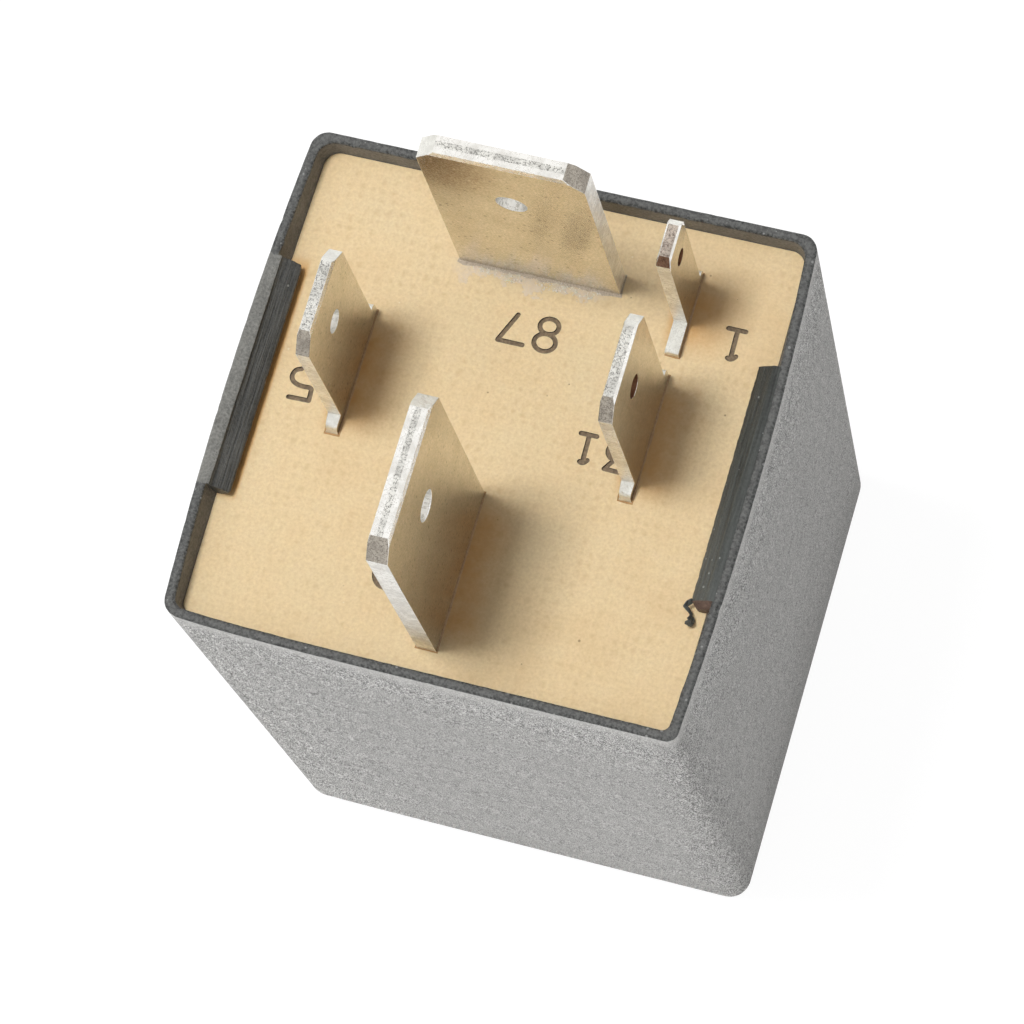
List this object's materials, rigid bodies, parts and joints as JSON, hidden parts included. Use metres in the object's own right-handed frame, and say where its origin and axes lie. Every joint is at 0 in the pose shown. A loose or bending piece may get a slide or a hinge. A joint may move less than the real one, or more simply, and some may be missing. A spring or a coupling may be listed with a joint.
{
  "type": "automotive relay",
  "caption": "Square-cased vehicle relay with flat blade terminals, a snap-in laminate base, and inside it a coil, a rocking armature with contacts, and an upright timing board.",
  "frame": {"origin": "centre of the cover's closed end, in the plane it stands on", "axes": "+Z from the closed end towards the blade tips, +X from blade 15 towards blade 31, +Y from blade 30 towards blade 87"},
  "size_m": [0.0308, 0.0296, 0.0552],
  "materials": {
    "cover_plastic": "fine grained, matte",
    "laminate": "glass-weave laminate, satin",
    "tinned_brass": "tin plated, satin",
    "plated_steel": "zinc plated",
    "soft_iron": "nickel plated",
    "coil_former": "moulded, satin",
    "enamelled_copper": "close wound, enamelled",
    "polyester_tape": "smooth film",
    "tinned_wire": "tinned, bright",
    "rivet_brass": "satin",
    "spring_bronze": "rolled strip",
    "contact_silver": "polished",
    "circuit_laminate": "varnished",
    "solder": "solidified, bright",
    "black_epoxy": "moulded, matte",
    "can_sleeve": "shrunk sleeve",
    "black_rubber": "moulded",
    "red_dip": "dipped, smooth",
    "ochre_dip": "dipped, smooth",
    "resistor_coat": "lacquered",
    "diode_glass": "glass body"
  },
  "bodies": {
    "case": {"cover": "cover_plastic", "base_board": "laminate", "terminal_87": "tinned_brass", "terminal_30": "tinned_brass", "terminal_15": "tinned_brass", "terminal_31": "tinned_brass", "terminal_1": "tinned_brass", "base_solder": "solder", "yoke": "plated_steel", "core": "soft_iron", "bobbin": "coil_former", "winding": "enamelled_copper", "coil_tape": "polyester_tape", "coil_pins": "tinned_wire", "leaf_rivets": "rivet_brass", "fixed_contact": "contact_silver", "backstop": "plated_steel", "circuit_board": "circuit_laminate", "board_solder": "solder", "timer_chip": "black_epoxy", "chip_legs": "tinned_wire", "capacitor_can": "can_sleeve", "capacitor_seal": "black_rubber", "capacitor_leads": "tinned_wire", "film_capacitor": "red_dip", "ceramic_capacitor_1": "ochre_dip", "ceramic_capacitor_2": "ochre_dip", "resistor_1": "resistor_coat", "resistor_2": "resistor_coat", "resistor_3": "resistor_coat", "resistor_4": "resistor_coat", "resistor_5": "resistor_coat", "resistor_6": "resistor_coat", "diode_1": "black_epoxy", "diode_2": "black_epoxy", "zener_diode": "diode_glass", "transistor": "black_epoxy", "link_wire": "tinned_wire"},
    "rocker": {"armature": "plated_steel", "armature_rivets": "rivet_brass", "contact_leaf": "spring_bronze", "moving_contact": "contact_silver"}
  },
  "joints": [
    {"name": "armature_pivot", "type": "hinge", "parent": "case", "child": "rocker", "pos_m": [0, -0.01155, 0.0159], "axis": [1, 0, 0], "range_deg": [0, 2.5], "stiffness_Nm_per_rad": 0.03, "springref_deg": -6.88, "deforming": ["contact_leaf"]}
  ]
}
